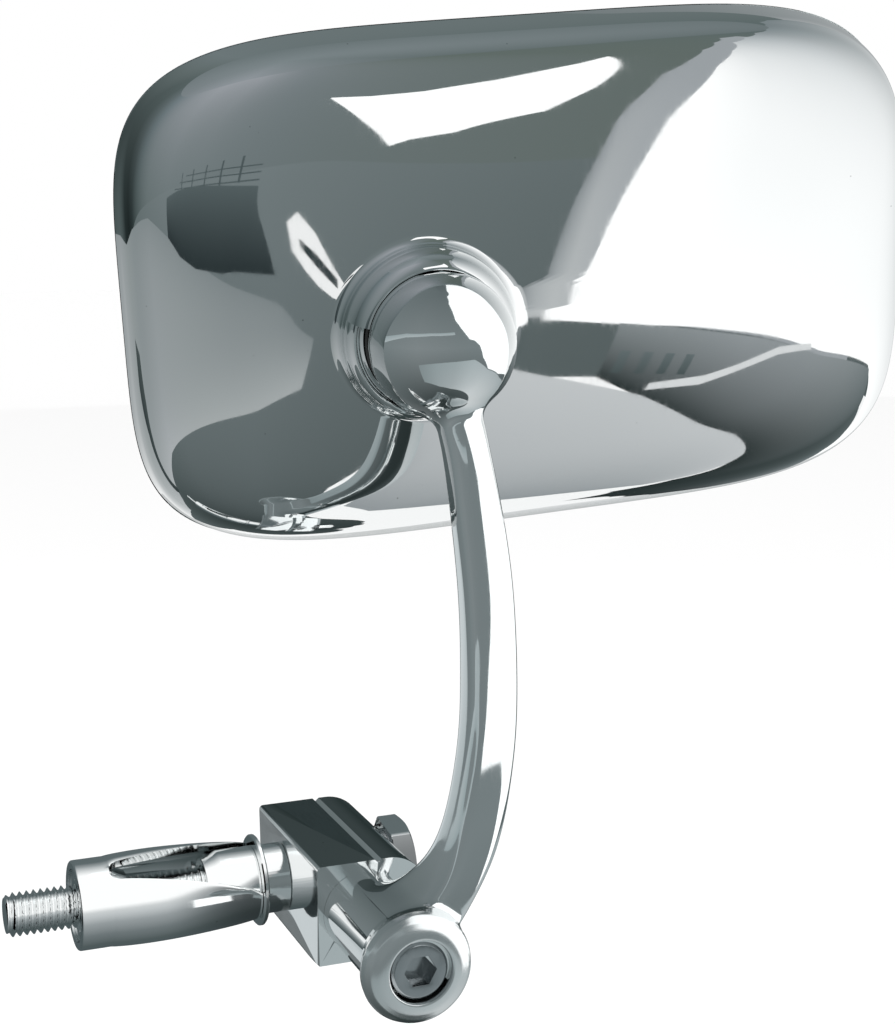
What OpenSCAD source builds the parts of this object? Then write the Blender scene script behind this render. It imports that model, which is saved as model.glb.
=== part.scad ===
// Bar-end mirror for a motorcycle handlebar: a rectangular pressed shell with a convex glass,
// a cast arm that ends in a ball, a clamp block, and a slotted sleeve that expands in the bar.
// Millimetres. X runs along the handlebar, outwards. Y points to the rider. Z is up.
// The origin is on the bar's axis, in the middle of the sleeve's solid collar.

/* [Expander in the bar] */
// Thread diameter of the long hexagon bolt
bolt_d = 8; // [6:1:10]
// Width across flats of the bolt head
head_af = 15; // [12:0.5:17]
// Height of the bolt head
head_h = 4.4; // [4:0.1:6]
// Turn of the bolt head about its axis
head_turn = 8.2; // [0:0.1:30]
// Free thread that stands out past the collar
bolt_free = 12.4; // [8:0.2:20]
// Outside diameter of the sleeve's solid collar
collar_d = 16.4; // [13:0.1:20]
// Length of the solid collar
collar_len = 6; // [4:0.5:12]
// Distance from the collar's face to the flange washer
sleeve_len = 33.6; // [24:0.2:44]
// Wall of the sleeve at the collar
sleeve_wall = 1.6; // [1.4:0.1:2.2]
// How far each leg bulges outwards
leg_bulge = 0.45; // [0:0.05:1]
// How far the legs draw in at their free ends
leg_draw = 0.8; // [0:0.05:0.85]
// Slot width where the slot starts
slot_start = 4.6; // [3:0.1:7]
// Slot width at the free ends of the legs
slot_end = 13.6; // [8:0.1:14]
// Wall of the legs at their free ends
leg_end_t = 0.8; // [0.6:0.1:1.2]
// Length of the cone bush up to its cone
bush_len = 6.8; // [4:0.1:12]
// Diameter of the flange washer
flange_d = 17; // [14:0.1:24]
// Thickness of the flange washer
flange_t = 1; // [0.8:0.1:3]
// Length of the spacer between flange and block
spacer_len = 4.7; // [2:0.1:10]

/* [Clamp block] */
// Height of the block
block_h = 18.5; // [14:0.5:26]
// Width of the block from its flat side to its crest
block_w = 20.65; // [17:0.05:26]
// Radius of the two corners of its rounded side
block_round = 7.2; // [4:0.1:7.2]
// Distance from the flat side to the shallow groove along the top
groove_x = 11.4; // [9:0.1:12]
// Depth of the shallow groove
groove_d = 0.6; // [0.2:0.1:1]
// Depth of the block behind the bolt
block_back = 15; // [10:0.5:22]
// Depth of the block in front of the bolt
block_front = 23; // [16:0.5:32]
// Radius of the slightly bowed underside, along the block
bow_r = 180; // [120:10:400]
// Rounding of the block's long edges
block_edge = 0.8; // [0.3:0.1:2]
// Flat for the bolt's washer, measured in from the rounded side
spot_depth = 2.1; // [1:0.1:4]

/* [Pivot and eye] */
// Thread diameter of the socket head screw
pivot_d = 6; // [5:1:8]
// Distance from the block's flat side to the pivot axis
pivot_x = 8.5; // [6:0.5:12]
// Barrel diameter
barrel_d = 15; // [12:0.5:20]
// Barrel length from the block to the eye's face
barrel_len = 30.3; // [24:0.1:40]
// Largest diameter of the eye
eye_d = 19.5; // [16:0.5:26]
// Length of the eye from its face to the plain barrel
eye_len = 9; // [7:0.1:12]
// Stem's foot behind the eye's face
foot_in = 15.3; // [13:0.1:18]
// Radial clearance of the screw's head in its counterbore
cap_gap = 0.5; // [0.3:0.1:1]
// Depth of the counterbore
cbore_depth = 8.3; // [6:0.1:12]

/* [Arm] */
// Ball diameter at the arm's end
ball_d = 26.2; // [18:0.2:28]
// Ball centre along the bar, from the block's flat side
ball_x = 26.9; // [10:0.1:45]
// Ball centre in front of the bar's axis
ball_y = 18.7; // [10:0.1:35]
// Ball centre above the bar's axis
ball_z = 100.3; // [70:0.1:140]
// Half width of the stem
stem_w = 4.7; // [3:0.1:6]
// Half depth of the stem
stem_d = 4.5; // [3:0.1:6]

/* [Mirror head] */
// Half width of the rim
rim_a = 76.3; // [60:0.1:90]
// Half height of the rim
rim_b = 48.2; // [38:0.1:60]
// Squareness of the rim's corners
rim_n = 4.66; // [3:0.02:8]
// Rim centre to the outer side of the ball
rim_u = 24; // [0:0.1:40]
// Rim centre above the ball
rim_w = 4.6; // [-20:0.1:20]
// Rim plane behind the ball's centre
rim_v = 27; // [26:0.1:34]
// Sheet thickness of the shell
sheet_t = 1.2; // [0.8:0.1:2]
// Turn of the head about Z
head_yaw = -4; // [-12:0.1:12]
// Lean of the head, top forward
head_pitch = 9.6; // [0:0.1:12]
// Roll of the head about its own normal
head_roll = -3.9; // [-12:0.1:12]
// Glass thickness
glass_t = 3; // [2:0.1:4]
// Radius of the convex glass
glass_r = 1200; // [800:50:1800]
// Wall of the socket's neck round the seat
neck_wall = 1.7; // [1.5:0.1:4]
// Height of the hood's lower edge above the ball's centre
hood_z = 1.8; // [0:0.1:5]
// Slope of the hood's lower edge
hood_slope = 6.9; // [0:0.1:12]
// Thickness of the seat liner in the socket
liner_t = 0.5; // [0.4:0.1:1]

/* [Fits] */
// Radial clearance of bolts and screws in plain holes
hole_gap = 0.3; // [0.2:0.05:0.6]
// Radial running clearance of the bolt in the turning block
turn_gap = 0.08; // [0.02:0.01:0.1]
// Radial clearance in a threaded or pushed fit
fit_gap = 0.05; // [0.02:0.01:0.1]
// Gap between the ball, its liner and its seat
ball_gap = 0.3; // [0.2:0.05:0.4]
// Gap between parts laid in the shell
lay_gap = 0.4; // [0.3:0.05:0.8]

/* [Hidden] */
$fn = 72;
over = 1;
bolt_r = bolt_d / 2;
bolt_tip = 0.7;
collar_r = collar_d / 2;
leg_gap = 0.1;
bush_r = collar_r - leg_draw - leg_end_t - leg_gap;
cone_len = 3;
sleeve_x0 = -collar_len / 2;
sleeve_x1 = sleeve_x0 + sleeve_len;
slot_r = slot_start / 2;
slot_x = sleeve_x0 + collar_len + slot_r;
spacer_x = sleeve_x1 + flange_t;
block_x = spacer_x + spacer_len;
block_r = block_h / 2;
crest_x = block_x + block_w;
spot_x = crest_x - spot_depth;
lock_t = 1.6;
split_w = 0.8;
head_x = spot_x + lock_t;
head_r = head_af / 2 / cos(30);
pivot_r = pivot_d / 2;
thread_len = 14;
axis_x = block_x + pivot_x;
eye_y = -block_front - barrel_len;
barrel_y = -block_front - 0.06;
foot_y = eye_y + foot_in;
path_foot = -38;
foot_gap = 2;
barrel_r = barrel_d / 2;
eye_r = eye_d / 2;
cap_h = pivot_d;
cap_r = pivot_r * 5 / 3;
cap_edge = 0.5;
socket_af = pivot_d * 5 / 6;
socket_depth = 3.2;
cbore_r = cap_r + cap_gap;
cap_y = eye_y + cbore_depth - lock_t;
ball_r = ball_d / 2;
bx = block_x + ball_x;
path_x = 26.9;
path_y = 18.7;
path_z = 100.3;
liner_ri = ball_r + ball_gap;
liner_ro = liner_ri + liner_t;
seat_r = liner_ro + ball_gap;
seat_t = 1.1;
seat_ro = seat_r + seat_t;
seat_open = 30;
hood_end = 78;
neck_r = seat_r + neck_wall;
lip_y = 6;
saddle_r = seat_ro + ball_gap;
saddle_in = 14.5;
saddle_out = 41.5;
saddle_edge = 0.6;
lean_max = 15;
saddle_y = saddle_r + 0.9;
disc_r = 8;
disc_t = 0.5;
disc_stack = 1.6;
screw_r = 3;
screw_depth = 2.5;
screw_head_r = 5.6;
screw_head_h = 3;
plug_r = collar_r - sleeve_wall - fit_gap;
lip_t = 1;
lip_w = 2.2;
glass_drop = 0.9;
glass_in = 4.1;
groove_gap = 0.06;
pad_t = 1.6;
pad_open = 13;

// Lays a turned shape made about Z along the bar.
module along_x() { rotate([0, 90, 0]) children(); }

// Lays a turned shape made about Z along Y, towards the rider.
module along_y() { rotate([-90, 0, 0]) children(); }

// Places a piece of the mirror head: origin at the ball's centre, Y towards the glass.
module in_head() {
    translate([bx, -ball_y, ball_z]) rotate([0, 0, head_yaw])
        rotate([head_pitch, 0, 0]) rotate([0, head_roll, 0]) children();
}

// Rounded oblong outline with squareness n, as a list of points.
function oblong(a, b, n, k = 72) = [for (i = [0 : k - 1]) let (t = (i + 0.5) * 360 / k)
    [a * sign(cos(t)) * pow(abs(cos(t)), 2 / n), b * sign(sin(t)) * pow(abs(sin(t)), 2 / n)]];

// Inset of the shell along X, inset along Z, depth behind the rim and squareness, rim first.
function press() = [[0, 0, 0, 1], [0.35, 0.6, 3, 0.99], [1.1, 2.2, 8.2, 0.97], [1.9, 3.4, 10.2, 0.95],
    [3.6, 5.2, 12, 0.91], [6.6, 8.2, 13.5, 0.86], [11.5, 12.6, 14.7, 0.78], [19, 18.6, 15.6, 0.69],
    [28, 25.8, 16.3, 0.6], [39, 33.5, 16.8, 0.53], [52, 40.5, 17.1, 0.48], [66, 45.5, 17.25, 0.45]];

// One ring of the shell in the head's frame, drawn in by t all round.
function ring(p, t) = [for (q = oblong(rim_a - p[0] - t, rim_b - p[1] - t, rim_n * p[3]))
    [rim_u + q[0], rim_v - p[2], rim_w + q[1]]];

// Closes a stack of equal rings into one solid.
module loft(rings) {
    k = len(rings[0]);
    m = len(rings);
    pts = [for (r = rings) each r];
    sides = [for (j = [0 : m - 2], i = [0 : k - 1]) let (n = (i + 1) % k)
        each [[j * k + i, (j + 1) * k + n, j * k + n], [j * k + i, (j + 1) * k + i, (j + 1) * k + n]]];
    polyhedron(pts, concat(sides, [[for (i = [0 : k - 1]) i]],
        [[for (i = [0 : k - 1]) m * k - 1 - i]]), convexity = 6);
}

// Long bolt: round shank with the thread's crest diameter and a chamfered hexagon head.
module expander_bolt() {
    tip_x = sleeve_x0 - bolt_free;
    color("silver") along_x() {
        rotate_extrude($fn = 96) polygon([[0, tip_x], [bolt_r - bolt_tip, tip_x], [bolt_r, tip_x + bolt_tip],
            [bolt_r, head_x + 1], [0, head_x + 1]]);
        translate([0, 0, head_x]) intersection() {
            rotate(30 + head_turn) cylinder(r = head_r, h = head_h, $fn = 6);
            cylinder(r1 = head_r + 2, r2 = head_af / 2 - 0.1, h = head_h + 0.1);
        }
    }
}

// Spring lock washer with a split, standing on Z.
module split_washer(ri, ro) {
    difference() {
        cylinder(r = ro, h = lock_t - 0.02);
        translate([0, 0, -over]) cylinder(r = ri, h = lock_t + 2 * over);
        translate([0, -split_w / 2, -over]) cube([2 * ro, split_w, lock_t + 2 * over]);
    }
}

// Spring lock washer in the block's spot face, under the bolt head.
module bolt_lock_washer() {
    color("gray") along_x() translate([0, 0, spot_x + 0.01]) split_washer(bolt_r + fit_gap, bolt_r + 2.3);
}

// Threaded plug fixed in the collar; turning the bolt draws it towards the bush.
module expander_nut() {
    nut_x = sleeve_x0 + 0.5;
    cone_x = nut_x + collar_len;
    ri = bolt_r + fit_gap;
    color("silver") along_x() rotate_extrude($fn = 96) polygon([[ri, nut_x + 0.75], [ri + 0.7, nut_x],
        [plug_r, nut_x], [plug_r, cone_x], [(plug_r + ri) / 2, cone_x + cone_len], [ri, cone_x + cone_len]]);
}

// Radius of the sleeve's outside, x from 0 at the slot's start to 1 at the free end.
function leg_r(x) = collar_r + leg_bulge * sin(180 * pow(x, 0.7)) - leg_draw * pow(x, 2.2);

// Slotted sleeve: a solid collar, then two tapering legs that bulge and draw in again.
module expander_sleeve() {
    bore_r = collar_r - sleeve_wall;
    leg_x = sleeve_x0 + collar_len;
    end_x = sleeve_x1 - 0.1;
    edge = 0.4;
    color("gainsboro") difference() {
        along_x() rotate_extrude($fn = 96) polygon(concat(
            [[bore_r, sleeve_x0], [collar_r - edge, sleeve_x0], [collar_r, sleeve_x0 + edge], [collar_r, leg_x]],
            [for (i = [1 : 14]) [leg_r(i / 14), leg_x + (end_x - leg_x) * i / 14]],
            [[bush_r + leg_gap, end_x], [bush_r + leg_gap, leg_x + 2], [bore_r, leg_x + 1]]));
        translate([0, 0, -collar_d]) {
            linear_extrude(2 * collar_d) polygon([[slot_x, -slot_r], [sleeve_x1 + over, -slot_end / 2],
                [sleeve_x1 + over, slot_end / 2], [slot_x, slot_r]]);
            translate([slot_x, 0, 0]) cylinder(r = slot_r, h = 2 * collar_d);
        }
    }
}

// Bush that the legs ride up on, with a cone on its inner end.
module cone_bush() {
    bush_x = sleeve_x1 - bush_len;
    ri = bolt_r + fit_gap;
    color("silver") along_x() rotate_extrude($fn = 96) polygon([[ri, bush_x - cone_len],
        [(ri + bush_r) / 2, bush_x - cone_len], [bush_r, bush_x], [bush_r, sleeve_x1], [ri, sleeve_x1]]);
}

// Washer that stops the bar's end.
module flange_washer() {
    edge = 0.25;
    ro = flange_d / 2;
    ri = bolt_r + fit_gap;
    color("silver") along_x() translate([0, 0, sleeve_x1]) rotate_extrude() polygon([[ri, 0], [ro - edge, 0],
        [ro, edge], [ro, flange_t - edge], [ro - edge, flange_t], [ri, flange_t]]);
}

// Plain spacer between the washer and the block.
module spacer() {
    color("silver") along_x() translate([0, 0, spacer_x]) difference() {
        cylinder(r = bush_r, h = spacer_len - 0.02);
        translate([0, 0, -over]) cylinder(r = bolt_r + fit_gap, h = spacer_len + 2 * over);
    }
}

// Outline of the block across its depth: flat side with eased corners, rounded outer side,
// and a shallow groove along the top where the two meet.
module block_outline(bow) {
    low = block_r + bow;
    round_x = block_w - block_round;
    difference() {
        union() {
            translate([block_edge, -low]) square([round_x - block_edge, block_r + low]);
            translate([0, block_edge - low]) square([block_edge + 0.01, block_r + low - 2 * block_edge]);
            translate([round_x - 0.01, block_round - low])
                square([block_round + 0.01, block_r + low - 2 * block_round]);
            for (z = [block_r, -low]) {
                translate([block_edge, z - sign(z) * block_edge]) circle(r = block_edge, $fn = 24);
                translate([round_x, z - sign(z) * block_round]) circle(r = block_round, $fn = 96);
            }
        }
        translate([groove_x, block_r]) polygon([[-2.5 * groove_d, over], [0, -groove_d], [3 * groove_d, over]]);
    }
}

// Clamp block: the bolt crosses it, and the socket screw threads into its front.
module clamp_block() {
    deep = block_front + block_back;
    mid_y = (block_back - block_front) / 2;
    bow = bow_r - sqrt(bow_r * bow_r - deep * deep / 4);
    color("gainsboro") difference() {
        intersection() {
            translate([block_x, block_back, 0]) rotate([90, 0, 0]) linear_extrude(deep) block_outline(bow);
            translate([block_x - over, mid_y, bow_r - block_r - bow]) rotate([0, 90, 0])
                cylinder(r = bow_r, h = block_w + 2 * over, $fn = 360);
        }
        along_x() translate([0, 0, block_x - over]) cylinder(r = bolt_r + turn_gap, h = 2 * block_h);
        along_x() translate([0, 0, spot_x]) cylinder(r = head_r + 2 * hole_gap, h = block_h);
        translate([axis_x, -block_front - over, 0]) along_y()
            cylinder(r = pivot_r + fit_gap, h = thread_len + 3 + over);
    }
}

// Socket head screw that clamps the barrel to the block; its free length lies in the block.
module pivot_screw() {
    face = cap_y - cap_h;
    color("dimgray") translate([axis_x, 0, 0]) along_y() difference() {
        union() {
            translate([0, 0, cap_y - 0.1]) cylinder(r = pivot_r, h = thread_len - block_front - cap_y);
            rotate_extrude() polygon([[0, face], [cap_r - cap_edge, face], [cap_r, face + cap_edge],
                [cap_r, cap_y], [0, cap_y]]);
        }
        translate([0, 0, face - over]) cylinder(r = socket_af / 2 / cos(30), h = socket_depth + over, $fn = 6);
    }
}

// Split spring washer under the screw's head.
module pivot_lock_washer() {
    color("gray") translate([axis_x, cap_y + 0.01, 0]) along_y() split_washer(pivot_r + fit_gap, cap_r - 0.2);
}

// Stem stations, from the barrel to the ball: centre x, y, z, then half width, half depth in
// front and behind as shares of the named sizes, direction, and sharpness of the inner edge.
function stem_path() = [
    [8.5, -38, 0, 1.17, 2.44, 2.44, 38, 0.2], [11.4, -38.8, 3.2, 1.15, 2.31, 2.36, 42, 0.5],
    [15, -39.8, 6.9, 1.02, 2, 2, 49, 0.9], [18.2, -40.6, 11, 0.93, 1.69, 1.56, 57, 1],
    [21, -41, 15.9, 0.97, 1.38, 1.2, 63, 1], [23.3, -40.6, 21.7, 1.01, 1.18, 1.07, 68, 1],
    [25.4, -39.2, 28.5, 1.01, 1.09, 1.02, 74, 1], [27.2, -37.2, 35.9, 1.01, 1.04, 1, 79, 0.9],
    [28.4, -35, 43.6, 1.01, 1.02, 1, 83, 0.8], [29.2, -32.8, 51.6, 1, 1, 0.98, 87, 0.6],
    [29.6, -30.6, 60, 0.99, 0.98, 0.96, 90, 0.45], [29.5, -28.4, 68.4, 0.96, 0.96, 0.93, 92, 0.3],
    [29.1, -26.3, 76.6, 0.9, 0.93, 0.91, 94, 0.2], [28.7, -24.7, 82.2, 0.86, 0.96, 0.93, 95, 0.1],
    [28.3, -23.3, 86.4, 0.96, 1.07, 1.02, 95, 0], [28.1, -21.8, 90.1, 1.32, 1.29, 1.2, 94, 0],
    [27.2, -20.4, 93.6, 1.74, 1.56, 1.47, 92, 0]];

// Power of the section's outline at angle t: an oval, squarer where the inner front edge lies.
function stem_n(t, sharp) = 2.5 + 3.5 * sharp * pow(max(0, cos(t - 225)), 2);

// One section of the stem; its centre shifts with the ball and the foot in proportion to its height,
// and the flare of the foot ends short of the eye's face and of the block.
function stem_ring(s) = let (rise = s[2] / path_z,
        mid = s[1] - (ball_y - path_y) * rise + (foot_y - path_foot) * (1 - rise),
        front = min(s[4] * stem_d, mid - eye_y - foot_gap),
        back = min(s[5] * stem_d, s[2] < barrel_r ? barrel_y - foot_gap - mid : s[5] * stem_d))
    [for (i = [0 : 35]) let (t = i * 10, n = stem_n(t, s[7]),
            c = s[3] * stem_w * sign(cos(t)) * pow(abs(cos(t)), 2 / n),
            f = (sin(t) < 0 ? front : back) * sign(sin(t)) * pow(abs(sin(t)), 2 / n))
        [block_x + s[0] + (ball_x - path_x) * rise + c * sin(s[6]),
            mid + f, s[2] + (ball_z - path_z) * rise - c * cos(s[6])]];

// Profile of the barrel and the domed eye, as radius and place along the pivot.
function eye_profile() = let (w = eye_r - cbore_r, f = eye_r - barrel_r, l = eye_len) [
    [0, eye_y], [cbore_r + 0.1 * w, eye_y], [cbore_r + 0.42 * w, eye_y + 0.03 * l],
    [cbore_r + 0.74 * w, eye_y + 0.1 * l], [cbore_r + 0.92 * w, eye_y + 0.2 * l], [eye_r, eye_y + 0.31 * l],
    [eye_r - 0.07 * f, eye_y + 0.42 * l], [eye_r - 0.36 * f, eye_y + 0.55 * l],
    [barrel_r + 0.31 * f, eye_y + 0.7 * l], [barrel_r + 0.07 * f, eye_y + 0.84 * l],
    [barrel_r, eye_y + l], [barrel_r, barrel_y], [0, barrel_y]];

// Cast arm in one piece: barrel with eye, curved stem and ball.
module arm() {
    color("gainsboro") difference() {
        union() {
            translate([axis_x, 0, 0]) along_y() rotate_extrude($fn = 96) polygon(eye_profile());
            loft([for (s = stem_path()) stem_ring(s)]);
            in_head() sphere(r = ball_r, $fn = 96);
        }
        translate([axis_x, eye_y - over, 0]) along_y() {
            cylinder(r = cbore_r, h = cbore_depth + over);
            cylinder(r = pivot_r + hole_gap, h = 2 * barrel_len);
        }
        in_head() along_y() {
            translate([0, 0, -screw_depth - 0.5]) cylinder(r = screw_r + fit_gap, h = 2 * ball_r);
            translate([0, 0, ball_r - 0.9]) cylinder(r = disc_r, h = 2 * over);
        }
    }
}

// Pan head screw that holds the shell on the ball; its thread ends inside the ball.
module joint_screw() {
    top = saddle_y + disc_stack;
    color("silver") in_head() along_y() difference() {
        union() {
            translate([0, 0, -screw_depth]) cylinder(r = screw_r, h = top + screw_depth + 0.1);
            rotate_extrude() polygon([[0, top], [screw_head_r, top], [screw_head_r, top + 1.8],
                [screw_head_r - 0.8, top + screw_head_h], [0, top + screw_head_h]]);
        }
        for (a = [0, 90]) rotate(a) translate([-2.6, -0.5, top + screw_head_h - 1.6]) cube([5.2, 1, 2]);
    }
}

// Conical spring washer from height low at its rim to height high at its hole.
module disc_spring(low, high) {
    in_head() along_y() rotate_extrude() polygon([[screw_r + 0.2, high - disc_t], [disc_r, low],
        [disc_r, low + disc_t], [screw_r + 0.2, high]]);
}

// Spring washer that opens towards the saddle.
module disc_spring_inner() {
    color("gray") disc_spring(saddle_y + 0.02, saddle_y + disc_stack / 2 - 0.01);
}

// Spring washer that opens towards the screw head, back to back with the other.
module disc_spring_outer() {
    color("gray") disc_spring(saddle_y + disc_stack - disc_t - 0.02, saddle_y + disc_stack / 2 + disc_t + 0.01);
}

// Upper edges of the saddle's rim, as radius and place along the head's Y.
function saddle_rim() = [[saddle_r * sin(saddle_out), saddle_r * cos(saddle_out) + saddle_edge],
    [disc_r + 1.2, saddle_y - 0.8]];

// Washer with a hollow spherical face that bears on the inside of the seat.
module saddle_washer() {
    color("silver") in_head() along_y() rotate_extrude() polygon(concat(
        [for (i = [0 : 6]) let (a = saddle_in + i * (saddle_out - saddle_in) / 6)
            [saddle_r * sin(a), saddle_r * cos(a)]],
        saddle_rim(), [[disc_r + 0.3, saddle_y], [saddle_r * sin(saddle_in), saddle_y]]));
}

// Thin plastic cup between the ball and the shell's seat.
module seat_liner() {
    color("dimgray") in_head() along_y() rotate_extrude() polygon(concat(
        [for (a = [seat_open : 5 : 65]) [liner_ri * sin(a), liner_ri * cos(a)]],
        [for (a = [65 : -5 : seat_open]) [liner_ro * sin(a), liner_ro * cos(a)]]));
}

// Rings of the shell's outside.
function outer_rings() = [for (p = press()) ring(p, 0)];

// Rings of its inside, one sheet further in, from behind the turned lip.
function inner_rings() = concat([ring([0.3, 0.5, lip_t, 1], sheet_t)],
    [for (p = press()) if (p[2] > 0) ring([p[0], p[1], p[2] - sheet_t, p[3]], sheet_t)]);

// Two rings that open the lip.
function lip_rings() = [for (d = [-over, lip_t + 0.01]) ring([lip_w, lip_w, d, 1], sheet_t)];

// Profile of the neck from its flare in the shell over the hood's lip into the seat.
function neck_profile() = let (base = rim_v - press()[len(press()) - 1][2], lip = hood_end) concat(
    [[neck_r + 2, base + 2], [neck_r + 1.5, base + 0.8], [neck_r + 0.6, base + 0.1],
        [neck_r + 0.15, base - 0.7], [neck_r, base - 1.7], [neck_r, 6.2], [neck_r - 0.3, 4.8],
        [neck_r - 0.9, 3.5], [neck_r - 1.6, 2.9]],
    [for (a = [lip : -6 : seat_open]) [seat_r * sin(a), seat_r * cos(a)]],
    [for (a = [seat_open : 6 : 60]) [seat_ro * sin(a), seat_ro * cos(a)]], [[neck_r - 1.3, base + 2]]);

// Point p of a turned profile, swung outwards by angle a about the ball's centre, and g further out.
function swung(p, a, g) = let (r = norm(p) + g, t = atan2(p[0], p[1]) + a) [r * sin(t), r * cos(t)];

// Room for the saddle's rim round the seat, to the largest lean of the mirror.
module saddle_room() {
    low = saddle_out + lean_max;
    rim = saddle_rim();
    out_r = norm(rim[0]) + ball_gap;
    top = swung(rim[1], lean_max, ball_gap);
    along_y() rotate_extrude() polygon(concat(
        [for (i = [0 : 6]) let (a = seat_open + i * (low - seat_open) / 6) [seat_ro * sin(a), seat_ro * cos(a)]],
        [[out_r * sin(low), out_r * cos(low)], top, [top[0], saddle_y], [seat_ro * sin(seat_open), saddle_y]]));
}

// Takes the lower half of the hood down to a low rounded lip, so that the arm can leave the socket.
module hood_cut() {
    intersection() {
        translate([0, 0, hood_z]) rotate([0, hood_slope, 0]) translate([-neck_r - 5, -neck_r, -2 * neck_r])
            cube([2 * neck_r + 10, 2 * neck_r, 2 * neck_r]);
        along_y() rotate_extrude($fn = 96) polygon([[0, -2], [neck_r + 5, -2], [neck_r + 5, lip_y + 2.2],
            [neck_r + 0.05, lip_y + 2.2], [neck_r - 0.4, lip_y + 0.8], [neck_r - 1.2, lip_y], [0, lip_y]]);
    }
}

// Pressed and plated shell: rounded oblong bowl, neck with a raised hood, and ball seat.
module shell() {
    color("gainsboro") in_head() difference() {
        union() {
            difference() {
                loft(outer_rings());
                loft(inner_rings());
                loft(lip_rings());
            }
            along_y() rotate_extrude($fn = 96) polygon(neck_profile());
        }
        along_y() rotate_extrude($fn = 96) polygon(concat([[0, -2], [seat_r, -2]],
            [for (a = [90 : -6 : seat_open]) [seat_r * sin(a), seat_r * cos(a)]],
            [[seat_r * sin(seat_open), seat_ro], [0, seat_ro]]));
        saddle_room();
        hood_cut();
    }
}

// Rim outline drawn in by t along X and by t + more along Z, laid flat and d behind the rim.
module rim_plate(t, more, d, h) {
    translate([rim_u, rim_v - d, rim_w]) rotate([90, 0, 0]) linear_extrude(h)
        polygon(oblong(rim_a - t, rim_b - t - more, rim_n * 0.96));
}

// Layer between two spheres of the glass's radius, from depth a to depth b.
module glass_layer(a, b) {
    translate([rim_u, rim_v, rim_w]) along_y() rotate_extrude() polygon(concat(
        [for (i = [0 : 12]) [i * rim_a / 10, -a - pow(i * rim_a / 10, 2) / 2 / glass_r]],
        [for (i = [12 : -1 : 0]) [i * rim_a / 10, -b - pow(i * rim_a / 10, 2) / 2 / glass_r]]));
}

// Glass between its two faces; extra makes it larger all round, for the groove of the gasket.
module glass_body(extra) {
    intersection() {
        rim_plate(glass_in - extra, 0.9, -2, 14);
        glass_layer(glass_drop - extra, glass_drop + glass_t + extra);
    }
}

// Rubber ring with a groove for the glass, held behind the shell's turned lip.
module gasket() {
    front = lip_t + 0.1;
    color("dimgray") in_head() difference() {
        rim_plate(sheet_t + 1.15 + lay_gap, 1, front, glass_t + 3.4);
        rim_plate(glass_in + lip_w, 0.9, front - over, glass_t + 3.4 + 2 * over);
        glass_body(groove_gap);
    }
}

// Convex mirror glass.
module glass() { color("lightblue") in_head() glass_body(0); }

// Foam sheet stuck to the back of the glass, with an opening over the screw.
module backing_pad() {
    back = glass_drop + glass_t;
    color("black") in_head() difference() {
        intersection() {
            rim_plate(glass_in + lip_w + 2 * lay_gap, 0.9, 0, 16);
            glass_layer(back + 0.02, back + pad_t);
        }
        along_y() cylinder(r = pad_open, h = 2 * rim_v);
    }
}

expander_bolt();
bolt_lock_washer();
expander_nut();
expander_sleeve();
cone_bush();
flange_washer();
spacer();
clamp_block();
pivot_screw();
pivot_lock_washer();
arm();
joint_screw();
disc_spring_outer();
disc_spring_inner();
saddle_washer();
seat_liner();
shell();
gasket();
glass();
backing_pad();
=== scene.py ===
"""Bar-end mirror of a motorcycle: polished chrome shell, cast arm, clamp block and bar expander.
Metres, in the CAD's frame: X along the handlebar, outwards, Y towards the rider, Z up."""

import math

import bmesh
import bpy
import numpy as np
from mathutils import Matrix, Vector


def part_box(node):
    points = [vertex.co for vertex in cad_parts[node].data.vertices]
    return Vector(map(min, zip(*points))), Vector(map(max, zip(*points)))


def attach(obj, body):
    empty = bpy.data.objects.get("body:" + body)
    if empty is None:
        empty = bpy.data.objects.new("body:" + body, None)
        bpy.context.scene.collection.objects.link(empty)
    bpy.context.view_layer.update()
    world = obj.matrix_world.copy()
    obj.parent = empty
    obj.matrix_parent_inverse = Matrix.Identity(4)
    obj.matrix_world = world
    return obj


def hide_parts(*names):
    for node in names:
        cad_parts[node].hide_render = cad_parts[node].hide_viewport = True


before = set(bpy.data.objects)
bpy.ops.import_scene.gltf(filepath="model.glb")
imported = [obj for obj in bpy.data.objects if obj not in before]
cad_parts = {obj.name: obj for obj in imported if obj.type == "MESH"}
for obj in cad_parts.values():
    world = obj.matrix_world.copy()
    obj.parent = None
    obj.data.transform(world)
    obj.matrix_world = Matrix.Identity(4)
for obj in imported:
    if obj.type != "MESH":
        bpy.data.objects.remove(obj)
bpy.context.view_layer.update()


# ---- Expander bolt ----
# A long M8 hexagon bolt, cold headed, with a rolled thread of 1.25 mm pitch, then plated bright.
# It runs through the block, spacer, washer and bush into the plug, and its tip stands free.
MM = 0.001


def linear(code):
    """An sRGB hex colour turned to linear light: each channel through the sRGB curve."""
    c = np.array([int(code[i : i + 2], 16) for i in (0, 2, 4)]) / 255
    low = c <= 0.04045
    return (*np.where(low, c / 12.92, ((c + 0.055) / 1.055) ** 2.4), 1.0)


def add(tree, kind, sets=None, links=None):
    """A shader node with its settings (by attribute or by input name) and its incoming links."""
    node = tree.nodes.new(kind)
    for key, value in (sets or {}).items():
        if isinstance(key, str) and hasattr(node, key):
            setattr(node, key, value)
        else:
            node.inputs[key].default_value = value
    for key, source in (links or {}).items():
        tree.links.new(source, node.inputs[key])
    return node


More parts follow.
